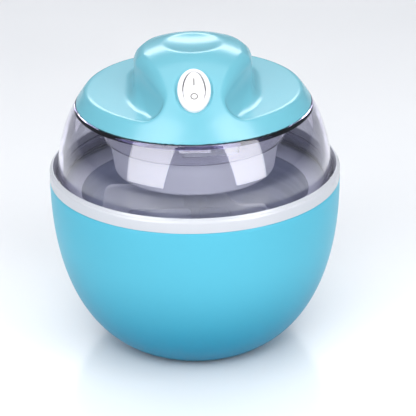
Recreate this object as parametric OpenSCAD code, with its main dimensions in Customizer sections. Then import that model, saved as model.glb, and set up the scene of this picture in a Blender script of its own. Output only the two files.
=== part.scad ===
// Frozen-bowl ice cream maker: blue tub, clear dome and a motor head with a carrying handle.
// Millimetres, +Z up. The origin is on the table, under the middle of the tub, and -Y is the front.

/* [Tub] */
// Outer radius of the white rim ring, the widest part
rim_r = 95; // [94:0.5:96]
// Height of the seam between the tub and the rim ring
seam_z = 113.5; // [113:0.5:114]
// Height of the top of the rim ring
rim_top_z = 123.2; // [122.8:0.2:124]
// Thickness of the tub wall
tub_wall = 2.6; // [2.2:0.2:3]
// Gap between the tub and the table, filled by the feet
foot_gap = 1; // [0.8:0.1:1.4]
// Radius of one rubber foot
foot_r = 6; // [5:0.5:7]

/* [Freezer bowl] */
// Wall thickness of the aluminium cup
cup_wall = 1.3; // [1:0.1:1.6]
// Height of the floor inside the cup
cup_floor_z = 27; // [26:0.5:28]
// Height of the cup's upper edge
cup_top_z = 104; // [103:0.5:104.5]

/* [Clear dome] */
// Horizontal radius of the egg shape shared by the dome and the head
egg_rx = 89.2; // [89:0.1:89.4]
// Vertical radius of the egg shape
egg_rz = 86.5; // [86:0.5:87]
// Height of the centre of the egg shape
egg_z = 121; // [120.5:0.5:121.5]
// Wall thickness of the dome
dome_wall = 3; // [2.6:0.2:3.2]
// Height of the line where the head meets the dome
cap_z = 165.3; // [165.1:0.1:165.5]

/* [Motor head] */
// Height of the flat deck on each side of the handle
deck_z = 175; // [174.5:0.5:175.5]
// Half of the handle's width
handle_half = 38; // [37:0.5:39]
// Wall thickness of the blue cover
cover_wall = 2.6; // [2.4:0.1:2.8]
// Radius of the finger dimple on top of the handle
dimple_r = 18.5; // [17:0.5:20]
// Outer radius of the drum that hangs inside the dome
drum_r = 55.4; // [55.2:0.1:55.5]
// Height of the underside of the drum
drum_floor_z = 120; // [119.8:0.1:120.2]
// Angle that the head turns to release it from the dome
bayonet_turn = 20; // [16:1:24]

/* [Switch] */
// Width of the oval switch frame
bezel_w = 21; // [20:0.5:22]
// Length of the oval switch frame
bezel_l = 32; // [31:0.5:33]
// Distance of the switch from the middle, towards the front
switch_y = 51; // [50:0.5:52]
// Full angle through which the rocker tips
rocker_throw = 12; // [8:1:12]

/* [Gear motor] */
// Module of all four gears
gear_module = 0.6; // [0.6:0.01:0.61]
// Teeth of each large gear
gear_teeth = 38; // [38:1:38]
// Teeth of each pinion
pinion_teeth = 14; // [14:1:14]
// Radius of the output shaft
shaft_r = 3.5; // [3.4:0.1:3.5]
// Radius of the motor case
motor_r = 30.5; // [30.5:0.1:31]

/* [Paddle] */
// Thickness of the paddle plate
paddle_t = 4; // [3:0.5:5]
// Reach of the tall wing
tall_wing_r = 62; // [61:0.5:62.5]
// Reach of the low wing's upper corner
low_wing_r = 47; // [45:1:50]

/* [Hidden] */
$fn = 96;
eps = 0.01;

// Tub profile: a rounded bulb that closes below the table.
bulb_depth = 121.06;
bulb_z_power = 2.23;
bulb_r_power = 2.85;
profile_steps = 22;

// Depths into the tub wall of each nested shell, measured square to the wall.
liner_out = 4.6;
liner_in = 6.2;
shell_out = 7.4;
shell_in = 9.2;
cup_in = 24;
cup_out = cup_in - cup_wall;

// Heights of the nested floors.
plate_t = 3;
plate_z = foot_gap;
flange_z = plate_z + plate_t;
flange_top = flange_z + 3.5;
liner_floor_z = 10.5;
bowl_floor_z = liner_floor_z + 1.8;
liner_top_z = 105;
plate_r = 42;
foot_ring_r = 32;
base_screw_r = 38;
screw_r = 1.45;
screw_gap = 0.06;

// Rim ring and the ledge inside it that carries the dome.
rim_in_r = rim_r - 2.6;
skirt_in_r = rim_r - 4.4;
ledge_z = 116;
skirt_z = liner_top_z + 2;
dome_flange_r = rim_in_r - 0.4;
spigot_r = skirt_in_r - 0.4;
spigot_in_r = spigot_r - 4;
spigot_z = 112;

// Neck of the dome and the bayonet of the head.
shoulder_z = 163;
shoulder_edge_r = 72.5;
neck_in_r = 56.2;
neck_out_r = 59.5;
neck_z = 144;
lug_r = 58.2;
lug_half = 7;
lug_start = 30;
lug_z = 150;
lug_h = 3;
flange_low_z = shoulder_z + 0.3;
flange_high_z = flange_low_z + 3;
flange_r = 72;
head_screw_r = 64;
foot_fillet = 6;

// Finger scoops: each is a tapered capsule between two balls, kept above the deck.
scoop_front = [32.8, -56, 188.5];
scoop_front_r = 14;
scoop_back = [83, 4, 197.7];
scoop_back_r = 36;
dimple_ball_r = 95;
dimple_edge_z = 205.5;
dimple_ball_z = dimple_edge_z + sqrt(pow(dimple_ball_r, 2) - pow(dimple_r, 2));

// Switch seat, square to the egg surface.
switch_z = egg_z + egg_rz * sqrt(1 - pow(switch_y / egg_rx, 2));
switch_tilt = atan((switch_y / pow(egg_rx, 2)) / ((switch_z - egg_z) / pow(egg_rz, 2)));
seat_depth = 1.8;
rocker_w = 13.6;
rocker_l = 25.2;
opening_w = 14.6;
opening_l = 27.2;
pivot_z = -3;
pivot_r = 1.2;
skirt_depth = 9;
switch_box_z = -22;

// Gear train. Both pairs share one centre distance, so the rotor is in line with the output shaft.
centre_dist = gear_module * (gear_teeth + pinion_teeth) / 2;
pressure_angle = 25;
backlash = 0.1;
case_z = 126;
case_floor_z = 128;
gear1_z = 129;
gear1_h = 3.5;
gear2_z = 134;
gear2_h = 3;
gear_plate_z = 140;
can_z = 141.2;
can_top_z = 160;
magnet_r = 15.2;
magnet_z = 142.5;
magnet_h = 13.5;
pin_r = 1.25;
idler_pin_r = 1.5;
run_gap = 0.06;
motor_ear_r = 36;
shaft_low_z = 102;
stem_half = 2.8;
window_top = 89.5;
window_low = 42;
gland_z = 176;
gland_out_y = 75;
cord_bore_r = 3.6;

// Radius of the tub's outer face at a height.
function tub_r(z) =
    rim_r * pow(1 - pow(max(seam_z - z, 0) / bulb_depth, bulb_z_power), 1 / bulb_r_power);

// Radius of a face that lies a given depth inside the tub's outer face.
function nested_r(z, depth) = tub_r(z - 0.65 * depth) - 0.8 * depth;

// Points up a nested face from one height to another, closer together near the floor.
function nested_line(z0, z1, depth) =
    [for (i = [0:profile_steps])
        let (z = z0 + (z1 - z0) * pow(i / profile_steps, 1.6)) [nested_r(z, depth), z]];

function reversed(list) = [for (i = [len(list) - 1:-1:0]) list[i]];

// Points on an arc round [cx, cz].
function arc(cx, cz, r, a0, a1, n) =
    [for (i = [0:n]) let (a = a0 + (a1 - a0) * i / n) [cx + r * cos(a), cz + r * sin(a)]];

// Points up the egg from one height to another, moved inwards by an inset.
function egg_line(z0, z1, inset, n) =
    let (a0 = asin((z0 - egg_z) / (egg_rz - inset)), a1 = asin(min(1, (z1 - egg_z) / (egg_rz - inset))))
    [for (i = [0:n]) let (a = a0 + (a1 - a0) * i / n)
        [max(0, (egg_rx - inset) * cos(a)), egg_z + (egg_rz - inset) * sin(a)]];

function egg_r(z, inset = 0) = (egg_rx - inset) * sqrt(1 - pow((z - egg_z) / (egg_rz - inset), 2));

module at_ring(count, r, start = 0) {
    for (i = [0:count - 1]) rotate([0, 0, start + 360 * i / count]) translate([r, 0, 0]) children();
}

module tube(r_out, r_in, z0, z1) {
    difference() {
        translate([0, 0, z0]) cylinder(r = r_out, h = z1 - z0);
        translate([0, 0, z0 - 1]) cylinder(r = r_in, h = z1 - z0 + 2);
    }
}

// Cross-recessed pan-head screw, head down at z = 0, shank upwards.
module screw(head_r, head_h, shank_r, length) {
    difference() {
        union() {
            cylinder(r = head_r, h = head_h);
            cylinder(r = shank_r, h = head_h + length);
        }
        for (a = [0, 90]) rotate([0, 0, a]) translate([-1.5, -0.3, -eps]) cube([3, 0.6, 0.8]);
    }
}

module oval(width, length) {
    steps = 48;
    polygon([for (i = [0:steps - 1]) [width / 2 * cos(360 * i / steps), length / 2 * sin(360 * i / steps)]]);
}

module oval_prism(width, length, z0, z1) {
    translate([0, 0, z0]) linear_extrude(z1 - z0) oval(width, length);
}

// Frame of the switch: its origin on the egg surface, its Z square to the surface.
module on_switch_seat() {
    translate([0, -switch_y, switch_z]) rotate([switch_tilt, 0, 0]) children();
}

module outer_body() {
    z0 = foot_gap;
    inner = nested_line(flange_top, seam_z, tub_wall);
    recess_r = plate_r + 0.3;
    hole_r = base_screw_r - 4;
    color("skyblue") difference() {
        union() {
            rotate_extrude() polygon(concat(
                [[recess_r, z0]],
                nested_line(z0, seam_z, 0),
                reversed(inner),
                [[hole_r, flange_top], [hole_r, flange_z], [recess_r, flange_z]]));
            at_ring(4, base_screw_r, 45) translate([0, 0, flange_z]) cylinder(r = 3.6, h = 5.6);
        }
        at_ring(4, base_screw_r, 45)
            translate([0, 0, flange_z - 1]) cylinder(r = screw_r + screw_gap, h = 5.6);
    }
}

module base_plate() {
    color("gainsboro") difference() {
        translate([0, 0, plate_z]) cylinder(r = plate_r, h = plate_t);
        at_ring(4, base_screw_r, 45) {
            translate([0, 0, plate_z - 1]) cylinder(r = screw_r + 0.2, h = plate_t + 2);
            translate([0, 0, plate_z - 1]) cylinder(r = 3, h = 3);
        }
        at_ring(4, foot_ring_r) translate([0, 0, plate_z - 1]) cylinder(r = foot_r + 0.1, h = 2.2);
    }
}

module rubber_feet() {
    color("dimgray") at_ring(4, foot_ring_r) cylinder(r = foot_r, h = plate_z + 1.2);
}

module base_screws() {
    color("silver") at_ring(4, base_screw_r, 45)
        translate([0, 0, plate_z + 0.4]) screw(2.7, 1.6, screw_r, 5.2);
}

module inner_liner() {
    top_r = rim_in_r - 0.2;
    color("white") rotate_extrude() polygon(concat(
        [[0, liner_floor_z]],
        nested_line(liner_floor_z, liner_top_z, liner_out),
        [[top_r, liner_top_z], [top_r, skirt_z], [nested_r(liner_top_z, liner_in), skirt_z]],
        reversed(nested_line(bowl_floor_z, liner_top_z, liner_in)),
        [[0, bowl_floor_z]]));
}

module rim_ring() {
    crown = 2.4;
    color("white") rotate_extrude() polygon(concat(
        [[skirt_in_r, skirt_z], [rim_in_r, skirt_z], [rim_in_r, seam_z], [rim_r, seam_z]],
        arc(rim_r - crown, rim_top_z - 3.6, crown, 0, 60, 5),
        arc(rim_in_r + 0.8, rim_top_z - 0.8, 0.8, 90, 180, 3),
        [[rim_in_r, ledge_z], [skirt_in_r, ledge_z]]));
}

module bowl_shell() {
    color("whitesmoke") rotate_extrude() polygon(concat(
        [[0, bowl_floor_z]],
        nested_line(bowl_floor_z, cup_top_z - 6, shell_out),
        reversed(nested_line(bowl_floor_z + 1.8, cup_top_z - 6, shell_in)),
        [[0, bowl_floor_z + 1.8]]));
}

module bowl_cup() {
    color("silver") rotate_extrude() polygon(concat(
        [[0, cup_floor_z - cup_wall]],
        nested_line(cup_floor_z - cup_wall, cup_top_z, cup_out),
        reversed(nested_line(cup_floor_z, cup_top_z, cup_in)),
        [[0, cup_floor_z]]));
}

module coolant_gel() {
    gel_top = cup_top_z - 10;
    color("lightblue") rotate_extrude() polygon(concat(
        [[0, bowl_floor_z + 2]],
        nested_line(bowl_floor_z + 2, gel_top, shell_in + 0.2),
        reversed(nested_line(cup_floor_z - cup_wall - 0.2, gel_top, cup_out - 0.2)),
        [[0, cup_floor_z - cup_wall - 0.2]]));
}

module bowl_rim() {
    low_z = cup_top_z - 6;
    cup_r = nested_r(cup_top_z, cup_out) + 0.2;
    out_r = nested_r(cup_top_z, shell_out) - 0.1;
    color("whitesmoke") rotate_extrude() polygon([
        [cup_r, low_z], [out_r, low_z], [out_r, cup_top_z + 3.4], [out_r - 0.6, cup_top_z + 4],
        [cup_r + 7, cup_top_z + 2.6], [nested_r(cup_top_z, cup_in), cup_top_z + 0.8],
        [nested_r(cup_top_z, cup_in), cup_top_z], [cup_r, cup_top_z]]);
}

module clear_dome() {
    slot_r = lug_r + 0.4;
    slot_low = lug_z - 0.4;
    slot_h = lug_h + 0.8;
    lug_span = 2 * (lug_half + 0.8);
    step_in = 0.15;
    color("lightcyan") difference() {
        rotate_extrude() polygon(concat(
            [[spigot_in_r, spigot_z], [spigot_r, spigot_z], [spigot_r, ledge_z],
                [dome_flange_r, ledge_z], [dome_flange_r, ledge_z + 2.2],
                [egg_r(ledge_z + 2.6), ledge_z + 2.6]],
            egg_line(ledge_z + 3, cap_z - 0.3, 0, 20),
            [[shoulder_edge_r, cap_z - 0.3], [shoulder_edge_r, shoulder_z],
                [neck_in_r, shoulder_z], [neck_in_r, neck_z], [neck_out_r, neck_z],
                [neck_out_r, shoulder_z - dome_wall]],
            reversed(egg_line(ledge_z + 3, shoulder_z - dome_wall, dome_wall, 18)),
            [[spigot_in_r, ledge_z + 1]]));
        for (i = [0:2]) rotate([0, 0, lug_start + 120 * i]) {
            translate([0, 0, slot_low]) rotate([0, 0, -lug_span / 2])
                rotate_extrude(angle = lug_span + bayonet_turn)
                    translate([neck_in_r - 1, 0]) square([slot_r - neck_in_r + 1, slot_h]);
            translate([0, 0, slot_low + slot_h / 2]) rotate([0, 0, bayonet_turn - lug_span / 2 + 0.3])
                rotate_extrude(angle = lug_span - 0.6)
                    translate([neck_in_r - 1, 0]) square([slot_r - neck_in_r + 1 - step_in, 20]);
        }
    }
}

module dome_seal() {
    color("lightgray") rotate_extrude() polygon([
        [spigot_in_r + 0.6, spigot_z - 2], [spigot_r - 0.8, spigot_z - 2.6],
        [spigot_r - 0.3, spigot_z], [spigot_in_r + 0.2, spigot_z]]);
}

// The egg with its flat decks and the upright slab of the handle.
module head_form() {
    wide = egg_rx + 10;
    tall = egg_z + egg_rz + 10;
    intersection() {
        rotate_extrude() polygon(concat([[0, cap_z]], egg_line(cap_z, egg_z + egg_rz, 0, 16)));
        translate([0, wide, 0]) rotate([90, 0, 0]) linear_extrude(2 * wide) polygon(concat(
            [[-wide, cap_z - 1], [wide, cap_z - 1], [wide, deck_z]],
            arc(handle_half + foot_fillet, deck_z + foot_fillet, foot_fillet, 270, 180, 6),
            [[handle_half, tall], [-handle_half, tall]],
            arc(-handle_half - foot_fillet, deck_z + foot_fillet, foot_fillet, 0, -90, 6),
            [[-wide, deck_z]]));
    }
}

module scoop() {
    room = 160;
    intersection() {
        hull() {
            translate(scoop_front) sphere(r = scoop_front_r, $fn = 40);
            translate(scoop_back) sphere(r = scoop_back_r, $fn = 40);
        }
        translate([0, -room / 2, deck_z]) cube(room);
    }
}

module head_cavity() {
    spine_half = handle_half - 3;
    tip_half = 15.8;
    tip_y = 54;
    far_y = 80;
    difference() {
        union() {
            rotate_extrude() polygon(concat(
                [[0, cap_z - 1], [egg_r(cap_z - 1, cover_wall), cap_z - 1]],
                egg_line(cap_z, deck_z - cover_wall, cover_wall, 3),
                [[0, deck_z - cover_wall]]));
            intersection() {
                rotate_extrude() polygon(concat(
                    [[0, cap_z]], egg_line(cap_z, egg_z + egg_rz - cover_wall, cover_wall, 12)));
                translate([0, 0, cap_z]) linear_extrude(60) polygon([
                    [spine_half, -2], [spine_half, 2], [tip_half, tip_y], [tip_half, far_y],
                    [-tip_half, far_y], [-tip_half, tip_y], [-spine_half, 2], [-spine_half, -2],
                    [-tip_half, -tip_y], [-tip_half, -far_y], [tip_half, -far_y], [tip_half, -tip_y]]);
            }
        }
        translate([0, 0, dimple_ball_z]) sphere(r = dimple_ball_r + cover_wall);
        on_switch_seat() oval_prism(bezel_w + 4, bezel_l + 4, -seat_depth - 2.4, 10);
    }
}

module head_cover() {
    color("skyblue") difference() {
        union() {
            difference() {
                head_form();
                head_cavity();
            }
            at_ring(4, head_screw_r, 45)
                translate([0, 0, flange_high_z]) cylinder(r = 4, h = deck_z - 2 - flange_high_z);
        }
        for (side = [0, 1], end = [0, 1]) mirror([side, 0, 0]) mirror([0, end, 0]) scoop();
        translate([0, 0, dimple_ball_z]) sphere(r = dimple_ball_r);
        on_switch_seat() {
            oval_prism(bezel_w + 2.4, bezel_l + 2.4, -seat_depth, 10);
            oval_prism(bezel_w - 2.6, bezel_l - 2.6, -10, 0);
        }
        at_ring(4, head_screw_r, 45)
            translate([0, 0, flange_high_z - 1]) cylinder(r = screw_r + screw_gap, h = 6.2);
        translate([0, 50, gland_z]) rotate([-90, 0, 0]) cylinder(r = 5.6, h = 40);
    }
}

module lower_housing() {
    wall = 2.5;
    foot_r_out = drum_r - 6;
    foot_r_in = drum_r - 8;
    post_h = case_z - drum_floor_z - 1;
    color("lightgray") difference() {
        union() {
            rotate_extrude() polygon(concat(
                [[0, drum_floor_z], [foot_r_out, drum_floor_z]],
                arc(foot_r_out, drum_floor_z + 3, 3, 290, 350, 4),
                [[drum_r, neck_z - 1], [drum_r, flange_low_z], [flange_r, flange_low_z],
                    [flange_r, flange_high_z], [drum_r - wall, flange_high_z], [drum_r - wall, neck_z - 1],
                    [foot_r_out, drum_floor_z + wall + 2], [foot_r_in, drum_floor_z + wall],
                    [0, drum_floor_z + wall]]));
            for (i = [0:2]) rotate([0, 0, lug_start + 120 * i - lug_half]) translate([0, 0, lug_z])
                rotate_extrude(angle = 2 * lug_half)
                    translate([drum_r - 1, 0]) square([lug_r - drum_r + 1, lug_h]);
            at_ring(3, motor_ear_r, 30) translate([0, 0, drum_floor_z + 1]) cylinder(r = 3.6, h = post_h);
            translate([0, 0, drum_floor_z + 1]) cylinder(r = 10, h = post_h);
        }
        translate([0, 0, drum_floor_z - 1]) cylinder(r = 6.1, h = 12);
        at_ring(3, motor_ear_r, 30)
            translate([0, 0, drum_floor_z + 1.5]) cylinder(r = screw_r + screw_gap, h = 6);
        at_ring(4, head_screw_r, 45) {
            translate([0, 0, flange_low_z - 1]) cylinder(r = screw_r + 0.2, h = 6);
            translate([0, 0, flange_low_z - 1]) cylinder(r = 3, h = 2.8);
        }
    }
}

module housing_screws() {
    color("silver") at_ring(4, head_screw_r, 45)
        translate([0, 0, flange_low_z + 0.2]) screw(2.7, 1.5, screw_r, 5.6);
}

module cord_gland() {
    in_y = 57.6;
    color("dimgray") translate([0, 0, gland_z]) rotate([-90, 0, 0]) difference() {
        union() {
            translate([0, 0, in_y]) cylinder(r = 5.5, h = gland_out_y - in_y);
            translate([0, 0, in_y - 2]) cylinder(r = 7, h = 2.4);
        }
        translate([0, 0, in_y - 3]) cylinder(r = cord_bore_r, h = 30);
    }
}

module terminal_block() {
    color("ivory") difference() {
        translate([-12, 24, flange_high_z + 1]) cube([24, 9, 9]);
        for (x = [-7, 0, 7]) translate([x, 28.5, flange_high_z + 5]) cylinder(r = 1.8, h = 10);
    }
}

// Two straight runs of wire: up out of the terminal block, then forwards to the switch.
module lead_wires() {
    wire_r = 0.9;
    low_z = flange_high_z + 10.2;
    run_z = low_z + 6;
    block_y = 28.5;
    switch_end_y = -24;
    color("firebrick") for (side = [-1, 1]) {
        translate([side * 7, block_y, low_z]) cylinder(r = wire_r, h = run_z - low_z);
        translate([side * 7 - wire_r, switch_end_y, run_z])
            cube([2 * wire_r, block_y + wire_r - switch_end_y, 2 * wire_r]);
    }
}

module switch_bezel() {
    color("white") on_switch_seat() difference() {
        union() {
            oval_prism(bezel_w, bezel_l, -seat_depth, 0.7);
            oval_prism(bezel_w - 0.9, bezel_l - 0.9, 0, 1.3);
            oval_prism(bezel_w - 3, bezel_l - 3, -skirt_depth, 0);
        }
        oval_prism(opening_w, opening_l, -skirt_depth - 1, 3);
        translate([-20, 0, pivot_z]) rotate([0, 90, 0]) cylinder(r = pivot_r + 0.07, h = 40);
    }
}

module switch_body() {
    color("black") on_switch_seat() difference() {
        oval_prism(bezel_w - 3, bezel_l - 3, switch_box_z, -skirt_depth);
        oval_prism(opening_w - 1, opening_l - 1, -skirt_depth - 3, 0);
    }
}

module switch_terminals() {
    color("goldenrod") on_switch_seat() for (y = [-8, 0, 8])
        translate([-2.4, y - 0.4, switch_box_z - 7]) cube([4.8, 0.8, 7]);
}

module switch_rocker() {
    end_h = 5;
    color("white") on_switch_seat() translate([0, 0, pivot_z]) rotate([rocker_throw / 2, 0, 0]) {
        intersection() {
            oval_prism(rocker_w, rocker_l, -6, 9);
            rotate([90, 0, 90]) translate([0, 0, -10]) linear_extrude(20) polygon([
                [-13, end_h - 3.4], [-5, -4.4], [5, -4.4], [13, end_h - 3.4],
                [13, end_h], [5, end_h - 1], [0, end_h - 1.3], [-5, end_h - 1], [-13, end_h]]);
        }
        translate([-8.4, 0, 0]) rotate([0, 90, 0]) cylinder(r = pivot_r, h = 16.8);
    }
}

// Involute function in degrees.
function involute(a) = tan(a) * 180 / PI - a;

function half_tooth(teeth, r) =
    let (pitch_r = gear_module * teeth / 2, base_r = pitch_r * cos(pressure_angle))
    90 / teeth - backlash / pitch_r * 45 / PI
        + involute(pressure_angle) - involute(acos(min(1, base_r / max(r, base_r))));

// Outline of a gear with one tooth centred on the angle given.
function gear_outline(teeth, phase) =
    let (pitch_r = gear_module * teeth / 2,
        root_r = pitch_r - 1.15 * gear_module,
        low_r = max(root_r + 0.15, pitch_r * cos(pressure_angle)),
        tip_r = pitch_r + 0.9 * gear_module,
        radii = [root_r, low_r, pitch_r, tip_r])
    [for (i = [0:teeth - 1], side = [-1, 1], k = [0:3])
        let (r = radii[side < 0 ? k : 3 - k], a = phase + 360 * i / teeth + side * half_tooth(teeth, r))
        [r * cos(a), r * sin(a)]];

module gear(teeth, phase, z, h) {
    translate([0, 0, z]) linear_extrude(h) polygon(gear_outline(teeth, phase));
}

module gear_case() {
    color("gray") difference() {
        union() {
            translate([0, 0, case_z]) cylinder(r = motor_r, h = gear_plate_z - case_z);
            at_ring(3, motor_ear_r, 30) translate([-8, -4, case_z]) cube([8, 8, 1.6]);
            at_ring(3, motor_ear_r, 30) translate([0, 0, case_z]) cylinder(r = 4, h = 1.6);
        }
        translate([0, 0, case_floor_z]) cylinder(r = motor_r - 1.5, h = 20);
        translate([0, 0, case_z - 1]) cylinder(r = 6.1, h = 5);
        translate([0, centre_dist, case_z + 0.8]) cylinder(r = idler_pin_r, h = 5);
        at_ring(3, motor_ear_r, 30) translate([0, 0, case_z - 1]) cylinder(r = screw_r + 0.2, h = 5);
    }
}

module gear_plate() {
    color("silver") difference() {
        translate([0, 0, gear_plate_z]) cylinder(r = motor_r, h = can_z - gear_plate_z);
        translate([0, 0, gear_plate_z - 1]) cylinder(r = 6, h = 4);
        translate([0, centre_dist, gear_plate_z - 1]) cylinder(r = idler_pin_r, h = 4);
    }
}

module motor_can() {
    color("silver") difference() {
        translate([0, 0, can_z]) cylinder(r = motor_r, h = can_top_z - can_z);
        translate([0, 0, can_z - 1]) cylinder(r = motor_r - 0.8, h = can_top_z - can_z + 0.2);
        translate([0, 0, can_top_z - 2]) cylinder(r = pin_r, h = 4);
    }
}

module coil_bobbin() {
    low = can_z + 1.4;
    high = can_top_z - 1.8;
    color("ivory") {
        tube(28.6, 17.6, low, low + 1.2);
        tube(28.6, 17.6, high - 1.2, high);
        tube(19, 17.6, low, high);
    }
}

module coil_winding() {
    color("peru") tube(27.6, 19.1, can_z + 2.8, can_top_z - 3.2);
}

module stator_poles() {
    color("darkgray") difference() {
        tube(17.4, 16.2, can_z, can_top_z - 0.8);
        at_ring(12, 16.8) translate([-2, -1, can_z + 3]) cube([4, 2, can_top_z - can_z - 7]);
    }
}

module rotor_pin() {
    color("silver") translate([0, 0, gear2_z - 0.4]) cylinder(r = pin_r, h = can_top_z - gear2_z + 0.4);
}

module idler_pin() {
    color("silver") translate([0, centre_dist, case_z + 0.8])
        cylinder(r = idler_pin_r, h = can_z - case_z - 0.8);
}

module output_bushing() {
    color("darkgoldenrod") {
        tube(6, shaft_r + run_gap, drum_floor_z, case_floor_z);
        tube(8, shaft_r + run_gap, drum_floor_z - 1, drum_floor_z);
    }
}

module shaft_seal() {
    color("dimgray") tube(6.5, shaft_r + run_gap, drum_floor_z - 2.6, drum_floor_z - 1);
}

module motor_screws() {
    color("silver") at_ring(3, motor_ear_r, 30) translate([0, 0, case_z + 3.2]) mirror([0, 0, 1])
        screw(2.7, 1.6, screw_r, 5.6);
}

module rotor_magnet() {
    color("dimgray") tube(magnet_r, 3.8, magnet_z, magnet_z + magnet_h);
}

module rotor_pinion() {
    hub_z = gear2_z + gear2_h;
    color("ivory") difference() {
        union() {
            gear(pinion_teeth, 90, gear2_z, gear2_h);
            translate([0, 0, hub_z]) cylinder(r = 3.7, h = magnet_z + magnet_h - hub_z + 0.6);
        }
        translate([0, 0, gear2_z - 1]) cylinder(r = pin_r + run_gap, h = 40);
    }
}

module idler_gear() {
    color("ivory") translate([0, centre_dist, 0]) difference() {
        union() {
            gear(pinion_teeth, 270 + 180 / pinion_teeth, gear1_z - 0.2, gear1_h + 0.4);
            translate([0, 0, gear1_z]) cylinder(r = 3.2, h = gear2_z - gear1_z + 0.5);
            gear(gear_teeth, 270 + 180 / gear_teeth, gear2_z, gear2_h);
        }
        translate([0, 0, gear1_z - 1]) cylinder(r = idler_pin_r + run_gap, h = 20);
    }
}

module output_shaft() {
    color("silver") difference() {
        translate([0, 0, shaft_low_z]) cylinder(r = shaft_r, h = gear1_z + gear1_h + 0.4 - shaft_low_z);
        for (side = [-1, 1]) translate([side * 4.6 - 2, -5, shaft_low_z - 1]) cube([4, 10, 14]);
    }
}

module output_gear() {
    color("ivory") difference() {
        gear(gear_teeth, 90, gear1_z, gear1_h);
        translate([0, 0, gear1_z - 1]) cylinder(r = shaft_r, h = 10);
    }
}

// Half outline of the paddle below a height, kept clear of the cup.
function wing_edge(z0, z1, n) =
    [for (i = [0:n]) let (z = z0 + (z1 - z0) * i / n) [nested_r(z, cup_in) - 3, z]];

// Window in the right half of the plate, between the stem and the wing.
module paddle_window(x0, x1_top, x1_low) {
    corner = 3.5;
    rotate([90, 0, 0]) translate([0, 0, -paddle_t]) linear_extrude(2 * paddle_t) polygon(concat(
        arc(x1_top - corner, window_top - corner, corner, 0, 90, 4),
        arc(x0 + corner, window_top - corner, corner, 90, 180, 4),
        arc(x0 + corner, window_low + corner, corner, 180, 270, 4),
        arc(x1_low - corner, window_low + corner, corner, 270, 360, 4)));
}

module paddle() {
    low_z = cup_floor_z + 3;
    turn_z = 52;
    hub_top = drum_floor_z - 3.4;
    wing_top = 107;
    edge = wing_edge(low_z, turn_z, 7);
    color("lightsteelblue") difference() {
        union() {
            difference() {
                rotate([90, 0, 0]) translate([0, 0, -paddle_t / 2]) linear_extrude(paddle_t) polygon(concat(
                    edge,
                    [[59, 66], [52, 86]],
                    arc(low_wing_r - 3, 88, 3, 10, 90, 4),
                    arc(33, 105, 14, 270, 180, 6),
                    [[19, wing_top], [-54, wing_top]],
                    arc(-54, wing_top - 6, 6, 90, 170, 5),
                    [[-tall_wing_r, 90], [-tall_wing_r, 62]],
                    reversed([for (p = edge) [-p[0], p[1]]])));
                paddle_window(stem_half, 21, 32);
                mirror([1, 0, 0]) paddle_window(stem_half, 45, 36);
            }
            translate([0, 0, 92]) cylinder(r = 7, h = hub_top - 92);
        }
        translate([0, 0, shaft_low_z - 0.5]) cylinder(r = shaft_r + 0.05, h = 30);
    }
}

outer_body();
base_plate();
rubber_feet();
base_screws();
inner_liner();
rim_ring();
bowl_shell();
bowl_cup();
coolant_gel();
bowl_rim();
clear_dome();
dome_seal();
head_cover();
lower_housing();
housing_screws();
cord_gland();
terminal_block();
lead_wires();
switch_bezel();
switch_body();
switch_terminals();
switch_rocker();
gear_case();
gear_plate();
motor_can();
coil_bobbin();
coil_winding();
stator_poles();
rotor_pin();
idler_pin();
output_bushing();
shaft_seal();
motor_screws();
rotor_magnet();
rotor_pinion();
idler_gear();
output_shaft();
output_gear();
paddle();
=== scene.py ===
"""Looks of a frozen-bowl ice cream maker: blue tub, clear dome and a motor head with a handle."""

import math
from itertools import product

import bmesh
import bpy
import numpy as np
from mathutils import Matrix, Vector


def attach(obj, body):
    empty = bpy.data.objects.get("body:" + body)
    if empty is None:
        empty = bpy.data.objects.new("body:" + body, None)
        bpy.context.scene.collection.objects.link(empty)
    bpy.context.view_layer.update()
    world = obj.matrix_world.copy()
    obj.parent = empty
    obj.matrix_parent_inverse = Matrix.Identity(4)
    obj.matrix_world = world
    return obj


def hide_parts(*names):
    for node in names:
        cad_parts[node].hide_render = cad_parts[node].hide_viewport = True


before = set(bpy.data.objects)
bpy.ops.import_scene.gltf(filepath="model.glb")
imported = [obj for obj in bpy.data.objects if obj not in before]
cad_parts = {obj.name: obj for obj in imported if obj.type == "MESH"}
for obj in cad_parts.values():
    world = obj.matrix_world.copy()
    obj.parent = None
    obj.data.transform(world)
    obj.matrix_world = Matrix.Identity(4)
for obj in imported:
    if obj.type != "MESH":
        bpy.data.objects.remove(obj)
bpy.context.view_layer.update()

MM = 0.001
STEPS = 224

# Tub, in millimetres like every size below.
RIM_R = 95.0
SEAM_Z = 113.5
RIM_TOP_Z = 123.2
RIM_IN_R = RIM_R - 2.6
SKIRT_IN_R = RIM_R - 4.4
SKIRT_Z = 107.0
LEDGE_Z = 116.0
TUB_WALL = 2.6
FOOT_GAP = 1.0
PLATE_RECESS_R = 42.3
FLANGE_Z = 4.0
FLANGE_TOP_Z = 7.5
FLANGE_HOLE_R = 34.0
BULB_DEPTH = 121.06
BULB_Z_POWER = 2.23
BULB_R_POWER = 2.85

# Liner and freezer bowl.
LINER_OUT = 4.6
LINER_IN = 6.2
LINER_FLOOR_Z = 10.5
LINER_TOP_Z = 105.0
BOWL_FLOOR_Z = 12.3
SHELL_OUT = 7.4
SHELL_IN = 9.2
CUP_IN = 24.0
CUP_WALL = 1.3
CUP_OUT = CUP_IN - CUP_WALL
CUP_FLOOR_Z = 27.0
CUP_TOP_Z = 104.0
COLLAR_LOW_Z = CUP_TOP_Z - 6.0

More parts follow.
